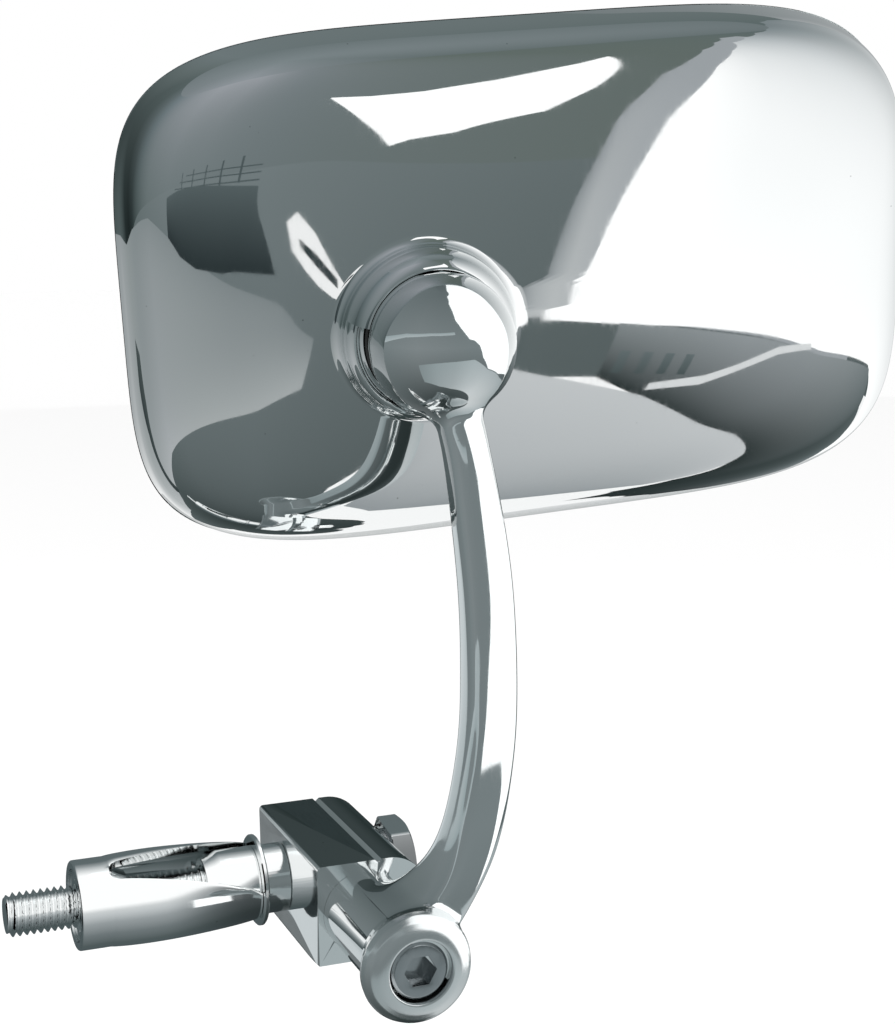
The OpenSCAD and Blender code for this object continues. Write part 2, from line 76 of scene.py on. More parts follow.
def grid_mesh(name, grids, body, material, sharp=35):
    """One object from grids of points, in millimetres. A grid is (rows, columns, 3) with flags that
    say whether its columns close into a ring; quads join neighbours, wound row by column."""
    points, faces, start = [], [], 0
    for grid, ring in grids:
        rows, cols = grid.shape[:2]
        index = np.arange(rows * cols).reshape(rows, cols) + start
        if ring:
            index = np.concatenate([index, index[:, :1]], 1)
        a, b, c, d = index[:-1, :-1], index[:-1, 1:], index[1:, 1:], index[1:, :-1]
        faces.append(np.stack([a, b, c, d], -1).reshape(-1, 4))
        points.append(grid.reshape(-1, 3))
        start += rows * cols
    mesh = bpy.data.meshes.new(name)
    mesh.from_pydata(np.concatenate(points) * MM, [], np.concatenate(faces))
    return finish_mesh(name, mesh, body, material, sharp)


def finish_mesh(name, mesh, body, material, sharp):
    """Merges doubled points, drops faces without area, turns the faces outwards, smooths all but sharp
    edges."""
    work = bmesh.new()
    work.from_mesh(mesh)
    bmesh.ops.remove_doubles(work, verts=work.verts, dist=2e-6)
    bmesh.ops.dissolve_degenerate(work, edges=work.edges, dist=1e-7)
    bmesh.ops.recalc_face_normals(work, faces=work.faces)
    work.to_mesh(mesh)
    work.free()
    mesh.shade_smooth()
    mesh.set_sharp_from_angle(angle=math.radians(sharp))
    piece = bpy.data.objects.new(name, mesh)
    bpy.context.scene.collection.objects.link(piece)
    mesh.materials.append(material)
    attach(piece, body)
    return piece


def new_material(name):
    """A material with nodes: itself, its tree, its shader and its object coordinates."""
    material = bpy.data.materials.new(name)
    material.use_nodes = True
    tree = material.node_tree
    return material, tree, tree.nodes["Principled BSDF"], add(tree, "ShaderNodeTexCoord").outputs["Object"]


def two_tones(tree, shader, factor, first, second):
    """The base colour, mixed from two sRGB tones by a factor."""
    tint = add(tree, "ShaderNodeMix", {"data_type": "RGBA"}, {"Factor": factor})
    tint.inputs[6].default_value, tint.inputs[7].default_value = linear(first), linear(second)
    tree.links.new(tint.outputs[2], shader.inputs["Base Color"])


def chrome(name, colour, rough, scratch, grain, depth, satin=None):
    """Bright plate over polished metal: a clean mirror with hairlines of the polishing wheel and a few
    dull specks. scratch is the share of roughness that the hairlines add, grain their spacing in metres.
    satin gives the two Y places between which a ground face grows duller, and by how much."""
    material, tree, shader, place = new_material(name)
    shader.inputs["Metallic"].default_value = 1.0
    lines = add(tree, "ShaderNodeMapping", {"Scale": (1.0, 0.12, 0.3)}, {"Vector": place})
    hair = add(tree, "ShaderNodeTexNoise", {"Scale": 1 / grain, "Detail": 3.0},
        {"Vector": lines.outputs[0]})
    cloud = add(tree, "ShaderNodeTexNoise", {"Scale": 90.0, "Detail": 4.0}, {"Vector": place})
    mixed = add(tree, "ShaderNodeMath", {"operation": "MULTIPLY"}, {0: hair.outputs["Fac"],
        1: cloud.outputs["Fac"]})
    span = {"From Min": 0.12, "From Max": 0.45, "To Min": rough, "To Max": rough + scratch}
    dull = add(tree, "ShaderNodeMapRange", span, {"Value": mixed.outputs[0]})
    finish = dull.outputs[0]
    if satin:
        apart = add(tree, "ShaderNodeSeparateXYZ", {}, {0: place})
        span = {"From Min": satin[0], "From Max": satin[1], "To Min": 0.0, "To Max": satin[2]}
        face = add(tree, "ShaderNodeMapRange", span, {"Value": apart.outputs["Y"]})
        finish = add(tree, "ShaderNodeMath", {"operation": "ADD"}, {0: finish,
            1: face.outputs[0]}).outputs[0]
    tree.links.new(finish, shader.inputs["Roughness"])
    specks = add(tree, "ShaderNodeTexVoronoi", {"Scale": 160.0}, {"Vector": place})
    span = {"From Min": 0.0, "From Max": 0.035, "To Min": 1.0, "To Max": 0.0}
    pit = add(tree, "ShaderNodeMapRange", span, {"Value": specks.outputs["Distance"]})
    two_tones(tree, shader, pit.outputs[0], colour, "9A9C9B")
    bump = add(tree, "ShaderNodeBump", {"Strength": 0.12, "Distance": depth},
        {"Height": hair.outputs["Fac"]})
    tree.links.new(bump.outputs[0], shader.inputs["Normal"])
    return material


bright_plate = chrome("bright_plate_on_turned_steel", "E6E8E8", 0.05, 0.08, 0.0006, 0.000004)

turn = np.linspace(0, 2 * np.pi, 120, endpoint=False)
low, high = (np.array(p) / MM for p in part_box("expander_bolt"))
tip_x, end_x = low[0], high[0]
head_h, head_af, pitch = 4.4, 15.0, 1.25
head_x = end_x - head_h


def bolt_radius(x, angle):
    """Thread: the crest radius less a rounded trapezium of the helix phase x / pitch - angle / turn."""
    phase = (x / pitch - angle / (2 * np.pi)) % 1.0
    flank = np.clip(np.abs(phase - 0.5) * 2.6 - 0.25, 0, 1)
    fade = np.clip((22 - x) / 2, 0, 1) * np.clip((x - tip_x) / 1.0 + 0.2, 0, 1)
    depth = 0.72 * (1 - flank) * fade
    tip = np.clip(0.9 - (x - tip_x), 0, 0.9)
    return 3.98 - depth - tip * 0.8


def along_bar(x, radius, angle):
    """A point at x with its radius and angle round the bar's axis; angle 0 is up, a quarter turn is to
    the rider."""
    x, radius, angle = np.broadcast_arrays(x, radius, angle)
    return np.stack([x, radius * np.sin(angle), radius * np.cos(angle)], -1)


shank_x = np.concatenate([np.linspace(tip_x, 22.5, 480), [head_x]])[:, None]
shank = along_bar(shank_x, bolt_radius(shank_x, turn[None]), turn[None])
tip_face = along_bar(np.full((3, 1), tip_x), np.array([0, 1.5, 2.9])[:, None], turn[None])
sixth = (turn + math.radians(8.2) + np.pi / 6) % (np.pi / 3) - np.pi / 6
hex_r = (head_af / 2 / np.cos(sixth))[None]
share = np.linspace(0, 1, 7)[1:, None]
top_r, edge = 7.2, 0.12
cone_x = head_h - (hex_r - top_r) * np.tan(np.radians(30))
flats = along_bar(
    head_x + np.concatenate([0 * cone_x, edge + 0 * cone_x, edge + (cone_x - edge) * share]),
    np.concatenate([hex_r - edge, hex_r, np.repeat(hex_r, len(share), 0)]), turn[None])
chamfer = along_bar(head_x + cone_x + (head_h - edge / 2 - cone_x) * share, hex_r + (top_r - hex_r) * share,
    turn[None])
under = along_bar(np.full((2, 1), head_x), np.array([[3.9], [7.0]]), turn[None])
top = along_bar(np.full((3, 1), end_x), np.array([[7.0], [3.5], [0.0]]), turn[None])
bolt_grid = np.concatenate([tip_face, shank, under, flats, chamfer, top])
bolt = grid_mesh("expander_bolt_threaded", [(bolt_grid, True)], "expander", bright_plate, 40)
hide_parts("expander_bolt")


# ---- Expander sleeve ----
# Steel tube, turned, slotted twice down its length, its legs then pressed outwards, and chromed.
# The solid collar holds the plug. The legs ride up on the bush when the bolt is tightened.
collar_r, collar_end, sleeve_end, bore_r = 8.2, 3.0, 30.5, 6.62
slot_r, slot_x, slot_end = 2.3, 5.3, 6.8


def leg_radius(x):
    """Outside of a leg: the collar radius, plus a half sine bulge, less a draw towards the free end."""
    t = np.clip((x - collar_end) / (sleeve_end - collar_end), 0, 1)
    return collar_r + 0.45 * np.sin(np.pi * t**0.7) - 0.8 * t**2.2


def slot_half(x):
    """Half width of the slot: a round start, then a straight taper out to the free end."""
    round_start = np.sqrt(np.clip(slot_r**2 - (x - slot_x) ** 2, 0, None))
    taper = slot_r + (slot_end - slot_r) * (x - slot_x) / (sleeve_end + 1.1 - slot_x)
    return np.where(x < slot_x, round_start, taper)


slot_turn = math.radians(-28)
front = np.array([[-2.9, bore_r], [-3.0, 6.75], [-3.0, 7.6], [-2.97, 7.9], [-2.86, 8.07], [-2.7, 8.16],
    [-2.5, 8.2], [0.0, 8.2], [2.0, 8.2]])
leg_x = collar_end + (sleeve_end - collar_end) * np.linspace(0, 1, 120) ** 1.7
out_x = np.concatenate([front[:, 0], leg_x])[:, None]
out_r = np.concatenate([front[:, 1], leg_radius(leg_x)])[:, None]
in_x = np.concatenate([[-2.9, 0.0], leg_x])[:, None]
arc = np.linspace(0, 1, 64)[None]


def leg_skin(side, x, radius, eased):
    """A leg's face: for each x an arc of the radius from slot edge to slot edge, its edges rolled in."""
    half = np.where(x < collar_end, 0.0, slot_half(x))
    begin = np.arcsin(np.clip(half / radius, 0, 0.9999))
    roll = 0.2 * eased * np.clip(half, 0, 1) * (np.exp(-arc * 45) + np.exp(-(1 - arc) * 45))
    return along_bar(x, radius - roll, slot_turn + side * (begin + (np.pi - 2 * begin) * arc))


sleeve_grids = []
for side in (1, -1):
    skin, bore = leg_skin(side, out_x, out_r, 1), leg_skin(side, in_x, bore_r, 0)
    walls = [np.stack([skin[len(front):, edge], bore[2:, edge]]) for edge in (0, -1)]
    tip = np.stack([skin[-1], bore[-1]])
    sleeve_grids += [(part, False) for part in (skin, bore, *walls, tip)]
sleeve = grid_mesh("slotted_sleeve", sleeve_grids, "expander", bright_plate, 38)
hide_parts("expander_sleeve")


# ---- Small turned pieces and washers ----
# Plug, bush, flange washer, spacer and both spring lock washers: bar turned or stamped, bright plated.
# Each keeps its CAD form, with its edges eased as plating leaves them.
spring_plate = chrome("zinc_plated_spring_steel", "B4B6B8", 0.22, 0.12, 0.0008, 0.00002)
screw_plate = chrome("dark_zinc_plated_screw_steel", "A2A6A8", 0.16, 0.12, 0.0007, 0.00002)


def eased_copy(node, name, body, material, width, sharp=28):
    """The CAD node's own surface, its loose triangles merged, with a small bevel along its edges."""
    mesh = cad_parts[node].data.copy()
    mesh.materials.clear()
    piece = finish_mesh(name, mesh, body, material, sharp)
    if width:
        bevel = piece.modifiers.new("eased", "BEVEL")
        bevel.width, bevel.segments = width * MM, 3
        bevel.limit_method, bevel.angle_limit = "ANGLE", math.radians(sharp)
        bevel.harden_normals = True
    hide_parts(node)
    return piece


eased_copy("expander_nut", "threaded_plug", "expander", bright_plate, 0.15)
eased_copy("cone_bush", "cone_bush_turned", "expander", bright_plate, 0.15)
eased_copy("flange_washer", "flange_washer_turned", "expander", bright_plate, 0)
eased_copy("spacer", "spacer_turned", "expander", bright_plate, 0.2)
eased_copy("bolt_lock_washer", "bolt_spring_washer", "expander", spring_plate, 0.12)
eased_copy("pivot_lock_washer", "pivot_spring_washer", "block", spring_plate, 0.12)


# ---- Clamp block ----
# Cast block, D-shaped in section, ground flat towards the bar and chromed all over.
# The bolt crosses it, and the socket head screw threads into its front.
cast_plate = chrome("polished_chrome_on_cast_steel", "E8EAEA", 0.03, 0.05, 0.0006, 0.000003)
arm_plate = chrome("polished_chrome_with_satin_eye", "E8EAEA", 0.03, 0.05, 0.0006, 0.000003, (-0.0470,
    -0.0515, 0.16))
eased_copy("clamp_block", "clamp_block_cast", "block", cast_plate, 0.35)


# ---- Pivot screw ----
# M6 socket head cap screw, forged and thread rolled, black oxide under clear zinc.
# It clamps the barrel to the block, and its head sits in the eye's counterbore.
eased_copy("pivot_screw", "socket_head_screw", "block", screw_plate, 0.25)


# ---- Arm ----
# One casting: a barrel with an eye, a curved stem with a crease down its inner front edge, and a ball.
# Polished and chromed. The stem runs into the barrel and the ball with cast fillets.
block_x, axis_x, ball_r = 36.3, 44.8, 13.1
front_y, eye_y = -23.06, -53.3
stem_w, stem_d, ball_side = 4.7, 4.5, 4
ball = np.array([63.2, -18.7, 100.3])
stations = np.array(
    [
        [8.5, -38, 0, 1.17, 2.44, 2.44, 38, 0.2],
        [11.4, -38.8, 3.2, 1.15, 2.31, 2.36, 42, 0.5],
        [15, -39.8, 6.9, 1.02, 2, 2, 49, 0.9],
        [18.2, -40.6, 11, 0.93, 1.69, 1.56, 57, 1],
        [21, -41, 15.9, 0.97, 1.38, 1.2, 63, 1],
        [23.3, -40.6, 21.7, 1.01, 1.18, 1.07, 68, 1],
        [25.4, -39.2, 28.5, 1.01, 1.09, 1.02, 74, 1],
        [27.2, -37.2, 35.9, 1.01, 1.04, 1, 79, 0.9],
        [28.4, -35, 43.6, 1.01, 1.02, 1, 83, 0.8],
        [29.2, -32.8, 51.6, 1, 1, 0.98, 87, 0.6],
        [29.6, -30.6, 60, 0.99, 0.98, 0.96, 90, 0.45],
        [29.5, -28.4, 68.4, 0.96, 0.96, 0.93, 92, 0.3],
        [29.1, -26.3, 76.6, 0.9, 0.93, 0.91, 94, 0.2],
        [28.7, -24.7, 82.2, 0.86, 0.95, 0.92, 94, 0.1],
        [28.3, -23.3, 86.4, 0.86, 0.95, 0.92, 93, 0],
        [27.9, -21.8, 90.1, 0.86, 0.95, 0.92, 92, 0],
        [27.4, -20.2, 95.0, 0.86, 0.95, 0.92, 90, 0],
        [26.9, -18.7, 100.3, 0.86, 0.95, 0.92, 90, 0],
        [26.9, -18.7, 112.6, 0.86, 0.95, 0.92, 90, 0],
    ]
)


def spline(knots, values, at):
    """Natural cubic spline through values at knots: second derivatives from one linear system."""
    n, h = len(knots), np.diff(knots)
    system, right = np.eye(n), np.zeros((n, values.shape[1]))
    inner = np.arange(1, n - 1)
    system[inner, inner - 1], system[inner, inner], system[inner, inner + 1] = h[:-1], 2 * (h[:-1] + h[1:]), h[1:]
    slope = np.diff(values, axis=0) / h[:, None]
    right[1:-1] = 6 * np.diff(slope, axis=0)
    curve = np.linalg.solve(system, right)
    k = np.clip(np.searchsorted(knots, at) - 1, 0, n - 2)
    t, hk = (at - knots[k])[:, None], h[k][:, None]
    first = slope[k] - hk * (2 * curve[k] + curve[k + 1]) / 6
    return values[k] + t * first + t**2 * curve[k] / 2 + t**3 * (curve[k + 1] - curve[k]) / (6 * hk)


def soft_join(a, b, width):
    """Distance to two bodies joined by a fillet: the smaller distance, less a parabola where they are close."""
    h = np.clip(width - np.abs(a - b), 0, None)
    return np.minimum(a, b) - h * h / (4 * width)


def barrel_profile(y):
    """Outside radius of the barrel and the domed eye at y."""
    y_at = np.array([-53.3, -53.28, -53.05, -52.4, -51.5, -50.5, -49.5, -48.3, -47.0, -45.7, -44.3, -23.0])
    r_at = np.array([5.93, 6.3, 7.29, 8.65, 9.41, 9.75, 9.59, 8.94, 8.2, 7.66, 7.5, 7.5])
    return np.interp(y, y_at, r_at)


def to_barrel(p):
    """Distance to the barrel: how far a point is outside its radius or in front of the eye's face."""
    outward = np.hypot(p[..., 0] - axis_x, p[..., 2]) - barrel_profile(p[..., 1])
    return np.maximum(outward, eye_y + 0.4 - p[..., 1])


rows = np.linspace(0, 1, 420)
chord = np.concatenate([[0], np.cumsum(np.linalg.norm(np.diff(stations[:, :3], axis=0), axis=1))])
path = spline(chord, stations, rows * chord[-1])
around = np.linspace(0, 2 * np.pi, 144, endpoint=False)
sharpness = np.clip(path[:, 7:], 0, 1)
power = 2.5 + 3.5 * sharpness * np.clip(np.cos(around - np.radians(225)), 0, None)[None] ** 2
cos_a, sin_a = np.cos(around)[None], np.sin(around)[None]
half_w = stem_w * path[:, 3:4]
half_d = stem_d * np.where(sin_a < 0, path[:, 4:5], path[:, 5:6])
across = half_w * np.sign(cos_a) * np.abs(cos_a) ** (2 / power)
deep = half_d * np.sign(sin_a) * np.abs(sin_a) ** (2 / power)
lean = np.radians(path[:, 6:7])
centre = np.stack([block_x + path[:, 0:1], path[:, 1:2], path[:, 2:3]], -1)
reach = np.stack([across * np.sin(lean), deep + 0 * lean, -across * np.cos(lean)], -1)
own = np.linalg.norm(reach, axis=-1, keepdims=True)
ray = reach / own


def to_arm(p, own_r, r):
    """Distance to stem, ball and barrel together, with a small fillet at the ball and at the barrel."""
    stem = r - own_r
    past = p[..., 2] - ball[2] + ball_side
    stem = np.where(past > 0, stem + past * 2, stem)
    sphere = np.linalg.norm(p - ball, axis=-1) - ball_r
    joined = soft_join(soft_join(stem, sphere, 2.6), to_barrel(p), 2.6)
    return np.maximum(joined, eye_y + 1.2 - p[..., 1])


near, far = np.zeros_like(own[..., 0]), own[..., 0] + 14
for _ in range(40):
    middle = (near + far) / 2
    outside = to_arm(centre + ray * middle[..., None], own[..., 0], middle) > 0
    far, near = np.where(outside, middle, far), np.where(outside, near, middle)
limit = np.minimum(far, own[..., 0] + 9)
stem_grid = centre + ray * limit[..., None]
keep = (path[:, 2] > 1.5) & (path[:, 2] < ball[2] + ball_r - 0.02)
stem_grid = stem_grid[keep]
pole = np.broadcast_to(ball + [0, 0, ball_r], stem_grid[-1:].shape)
stem_grid = np.concatenate([stem_grid, pole])

barrel_y = np.linspace(front_y, eye_y, 200)[:, None]
barrel_turn = np.linspace(0, 2 * np.pi, 160, endpoint=False)[None]


def barrel_point(y, r, a):
    """Point of the barrel at y, radius r and angle a round its axis, a = 0 towards +X."""
    y, r, a = np.broadcast_arrays(y, r, a)
    return np.stack([axis_x + r * np.cos(a), y, r * np.sin(a)], -1)


outer = barrel_point(barrel_y, barrel_profile(barrel_y), barrel_turn)
bore = np.array([[eye_y, 5.9], [eye_y + 0.12, 5.62], [eye_y + 0.4, 5.5], [-45.0, 5.5], [-45.0, 3.3],
    [front_y, 3.3], [front_y, 7.5]])
bore_grid = barrel_point(bore[:, :1], bore[:, 1:], barrel_turn)
arm = grid_mesh("cast_arm", [(stem_grid, True), (np.concatenate([outer, bore_grid]), True)], "arm",
    arm_plate, 32)
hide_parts("arm")


# ---- Ball joint inside the neck ----
# Pan head screw, two conical springs back to back, a hollow saddle washer and a thin acetal cup.
# The springs press the saddle on the inside of the seat, which gives the joint its friction.
liner_resin, tree, resin, place = new_material("moulded_black_acetal")
resin.inputs["Roughness"].default_value, resin.inputs["IOR"].default_value = 0.45, 1.48
mottle = add(tree, "ShaderNodeTexNoise", {"Scale": 300.0, "Detail": 3.0}, {"Vector": place})
two_tones(tree, resin, mottle.outputs["Fac"], "232425", "2B2C2D")
eased_copy("joint_screw", "ball_screw", "arm", screw_plate, 0.1)
eased_copy("disc_spring_outer", "disc_spring_top", "arm", spring_plate, 0)
eased_copy("disc_spring_inner", "disc_spring_bottom", "arm", spring_plate, 0)
eased_copy("saddle_washer", "saddle_washer_pressed", "saddle", screw_plate, 0)
eased_copy("seat_liner", "seat_cup", "liner", liner_resin, 0)


# ---- Shell ----
# Steel sheet of 1.2 mm, deep drawn to a rounded oblong bowl with a sloped rim band and a domed back.
# A neck with a raised hood over its upper half holds the ball. Polished and chromed.
sheet_plate = chrome("polished_chrome_on_pressed_steel", "ECEEEE", 0.012, 0.03, 0.0008, 0.0000008)
rim_a, rim_b, rim_n, rim_u, rim_v, rim_w, sheet = 76.3, 48.2, 4.66, 24.0, 27.0, 4.6, 1.2
yaw, tilt, roll = np.radians([-4, 9.6, -3.9])
turn_z = np.array([[np.cos(yaw), -np.sin(yaw), 0], [np.sin(yaw), np.cos(yaw), 0], [0, 0, 1]])
turn_x = np.array([[1, 0, 0], [0, np.cos(tilt), -np.sin(tilt)], [0, np.sin(tilt), np.cos(tilt)]])
turn_y = np.array([[np.cos(roll), 0, np.sin(roll)], [0, 1, 0], [-np.sin(roll), 0, np.cos(roll)]])
head_turn = turn_z @ turn_x @ turn_y


def in_head(local):
    """A point of the mirror head, from the ball's centre, put in the row frame."""
    return np.asarray(local) @ head_turn.T + ball


press = np.array(
    [
        [0, 0, 0, 1],
        [0.35, 0.6, 3, 0.99],
        [1.1, 2.2, 8.2, 0.97],
        [1.9, 3.4, 10.2, 0.95],
        [3.6, 5.2, 12, 0.91],
        [6.6, 8.2, 13.5, 0.86],
        [11.5, 12.6, 14.7, 0.78],
        [19, 18.6, 15.6, 0.69],
        [28, 25.8, 16.3, 0.6],
        [39, 33.5, 16.8, 0.53],
        [52, 40.5, 17.1, 0.48],
        [66, 45.5, 17.25, 0.45],
    ]
)
press_at = np.concatenate([[0], np.cumsum(np.linalg.norm(np.diff(press[:, :3], axis=0), axis=1))])


def shell_ring(s, angle, inward=0.0):
    """Ring of the drawn sheet, s from the rim to the middle of the back: |x/a|^n + |z/b|^n = 1, its
    points at (a cos t, b sin t) times (|cos t|^n + |sin t|^n)^(-1/n)."""
    ring = spline(press_at, press, np.atleast_1d(s))
    a, b, n = rim_a - ring[:, :1] - inward, rim_b - ring[:, 1:2] - inward, rim_n * ring[:, 3:4]
    c, d = np.cos(angle)[None], np.sin(angle)[None]
    scale = (np.abs(c) ** n + np.abs(d) ** n) ** (-1 / n)
    y = np.broadcast_to(rim_v - ring[:, 2:3] + inward, scale.shape)
    return np.stack([rim_u + a * c * scale, y, rim_w + b * d * scale], -1)


def shell_back(x, z):
    """Depth of the back at (x, z), found by halving s until its ring passes through the point."""
    lo, hi = np.zeros_like(x), np.full_like(x, press_at[-1])
    for _ in range(30):
        mid = (lo + hi) / 2
        ring = spline(press_at, press, mid.ravel()).reshape(*x.shape, 4)
        a, b, n = rim_a - ring[..., 0], rim_b - ring[..., 1], rim_n * ring[..., 3]
        beyond = np.abs((x - rim_u) / a) ** n + np.abs((z - rim_w) / b) ** n > 1
        hi, lo = np.where(beyond, mid, hi), np.where(beyond, lo, mid)
    return rim_v - spline(press_at, press, lo.ravel()).reshape(*x.shape, 4)[..., 2]


def along_profile(points, count):
    """A smooth line of count points through the given (radius, y) points: a cubic over their chord."""
    points = np.array(points, float)
    knots = np.concatenate([[0], np.cumsum(np.linalg.norm(np.diff(points, axis=0), axis=1))])
    return spline(knots, points, np.linspace(0, knots[-1], count))


def turned(radius, y, angle):
    """Rows of a profile turned about the neck's axis: (r cos a, y, r sin a)."""
    radius, y, angle = np.broadcast_arrays(radius, y, angle)
    return np.stack([radius * np.cos(angle), y, radius * np.sin(angle)], -1)


neck_r, fillet, seat_r, dome_r, knee = 15.9, 1.5, 14.2, 15.3, press_at[7]
columns, hood_span = 470, (-1.5, 164.3)
shell_turn = np.linspace(0, 2 * np.pi, columns, endpoint=False)
knee_ring = shell_ring(knee, shell_turn)[0]
toward = np.arctan2(knee_ring[:, 2], knee_ring[:, 0])
hood_ends = np.array([np.abs(toward - math.radians(a)).argmin() for a in hood_span])
order = np.sort(np.concatenate([np.arange(columns), hood_ends]))
first, last = np.searchsorted(order, hood_ends)
column = np.arange(columns + 2)
under_hood = (column > first) | (column <= last)
shell_turn, toward = shell_turn[order], toward[order][None]

outside = shell_ring(knee * np.linspace(0, 1, 74) ** 1.1, shell_turn)
reach_in = np.linspace(0, 1, 32)[1:, None]
foot = turned(neck_r + fillet, 0.0, toward)
blend_x = outside[-1:, :, 0] + (foot[..., 0] - outside[-1:, :, 0]) * reach_in
blend_z = outside[-1:, :, 2] + (foot[..., 2] - outside[-1:, :, 2]) * reach_in
back = np.stack([blend_x, shell_back(blend_x, blend_z), blend_z], -1)
curl = np.radians(np.linspace(0, 90, 9))[1:, None]
flare = turned(neck_r + fillet * (1 - np.sin(curl)), 0.0, toward)
flare[..., 1] = shell_back(flare[..., 0], flare[..., 2]) - fillet * (1 - np.cos(curl))
bend = np.radians(np.linspace(0, 84, 30))
hood_line = np.concatenate(
    [[[15.9, 8.0]], np.stack([12.95 + 2.95 * np.cos(bend), 7.2 - 4.35 * np.sin(bend)], -1),
     [[13.05, 2.86], [12.88, 2.87], [12.84, 2.93], [12.88, 3.03], [13.62, 3.24], [13.72, 3.68], [13.34,
     4.86], [12.97, 5.78], [12.6, 6.55]]])
lip_line = along_profile(
    [[15.9, 8.0], [15.88, 7.5], [15.75, 7.0], [15.45, 6.5], [15.0, 6.15], [14.5, 6.0], [14.1, 6.05], [13.85,
    6.25],
     [13.6, 6.5], [13.2, 6.6], [12.75, 6.3], [12.6, 6.55]], len(hood_line))
edge_r = np.where(under_hood, hood_line[:, :1], lip_line[:, :1])
edge_y = np.where(under_hood, hood_line[:, 1:], lip_line[:, 1:])
seat_angle = np.radians([[60], [50], [40], [30]])
dome_angle = np.radians([[30], [40], [50], [57]])
seat = turned(seat_r * np.sin(seat_angle), seat_r * np.cos(seat_angle), toward)
dome = turned(dome_r * np.sin(dome_angle), dome_r * np.cos(dome_angle), toward)
trench = turned(np.array([[13.3], [13.9], [14.6]]), np.array([[7.7], [8.3], [11.2]]), toward)
inner_knee = shell_ring(knee, shell_turn, sheet)
reach_out = np.linspace(0.05, 0.95, 5)[:, None]
inner_x = trench[-1:, :, 0] + (inner_knee[..., 0] - trench[-1:, :, 0]) * reach_out
inner_z = trench[-1:, :, 2] + (inner_knee[..., 2] - trench[-1:, :, 2]) * reach_out
inner_back = np.stack([inner_x, shell_back(inner_x, inner_z) + sheet, inner_z], -1)
inside = shell_ring(knee * np.linspace(1, 0.12, 14), shell_turn, sheet)
rim = [shell_ring(0.0, shell_turn, inset) for inset in (1.5, 3.4, 3.4, 0.6, 0.25, 0.06)]
for ring, y in zip(rim, (26.0, 26.0, 27.0, 27.0, 26.93, 26.75)):
    ring[..., 1] = y
outside[0, :, 1] = 26.5
shell_grid = np.concatenate([outside, back, flare, turned(edge_r, edge_y, toward), seat, dome, trench,
    inner_back, inside, *rim, outside[:1]])
shell = grid_mesh("pressed_shell", [(in_head(shell_grid), True)], "mirror", sheet_plate, 36)
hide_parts("shell")


# ---- Glass, gasket and pad ----
# Float glass of 3 mm bent to a radius of 1.2 m and silvered on its back, in a moulded rubber ring,
# with a sheet of closed-cell foam stuck behind it.
def plain(name, colours, rough, scale, bump_depth, metallic=0.0):
    """A moulded or silvered surface: two close tones in a fine noise, with its bump."""
    material, tree, shader, place = new_material(name)
    shader.inputs["Metallic"].default_value, shader.inputs["Roughness"].default_value = metallic, rough
    noise = add(tree, "ShaderNodeTexNoise", {"Scale": scale, "Detail": 4.0}, {"Vector": place})
    two_tones(tree, shader, noise.outputs["Fac"], *colours)
    bump = add(tree, "ShaderNodeBump", {"Strength": 0.4, "Distance": bump_depth},
        {"Height": noise.outputs["Fac"]})
    tree.links.new(bump.outputs[0], shader.inputs["Normal"])
    return material


moulded_rubber = plain("moulded_black_rubber", ("17181A", "222326"), 0.62, 900.0, 0.00004)
cell_foam = plain("closed_cell_foam", ("1B1B1C", "2C2C2D"), 0.85, 1400.0, 0.0001)
silvered = plain("silvered_float_glass", ("DCE3E4", "E2E8E9"), 0.01, 20.0, 0.0, 1.0)
eased_copy("gasket", "rubber_gasket", "mirror", moulded_rubber, 0)
eased_copy("glass", "convex_glass", "mirror", silvered, 0)
eased_copy("backing_pad", "foam_pad", "mirror", cell_foam, 0)


# ---- Studio ----
# A pale floor well below the part, a white surround, and three sets of glowing panels: one for the
# head, one for the arm and block, one for the bar's end. They are what the chrome shows, and the
# camera doesn't see them.
floor_mesh = bpy.data.meshes.new("floor")
span, ground = 6.0, -0.26
corners = [(-span, -span, ground), (span, -span, ground), (span, span, ground), (-span, span, ground)]
floor_mesh.from_pydata(corners, [], [(0, 1, 2, 3)])
floor = bpy.data.objects.new("floor", floor_mesh)
bpy.context.scene.collection.objects.link(floor)
floor_paint = bpy.data.materials.new("white_floor_paint")
floor_paint.use_nodes = True
paint = floor_paint.node_tree.nodes["Principled BSDF"].inputs
paint["Base Color"].default_value, paint["Roughness"].default_value = linear("FFFFFF"), 0.9
floor_mesh.materials.append(floor_paint)
floor.visible_glossy = False


def lining(name, clear):
    """Evenly glowing cloth in the panel's own tone; a clear one lets what hangs behind it show through."""
    cloth = bpy.data.materials.new(name)
    cloth.use_nodes = True
    tree = cloth.node_tree
    tree.nodes.clear()
    tone = add(tree, "ShaderNodeVertexColor", {"layer_name": "tone"})
    glow = add(tree, "ShaderNodeEmission", {}, {"Color": tone.outputs["Color"]})
    if clear:
        gauze = add(tree, "ShaderNodeBsdfTransparent")
        glow = add(tree, "ShaderNodeAddShader", {}, {0: glow.outputs[0], 1: gauze.outputs[0]})
    add(tree, "ShaderNodeOutputMaterial", {}, {"Surface": glow.outputs[0]})
    return cloth


def lit_group(name, pieces):
    """The pieces that one set of panels lights."""
    group = bpy.data.collections.new(name)
    for piece in pieces:
        group.objects.link(piece)
    return group


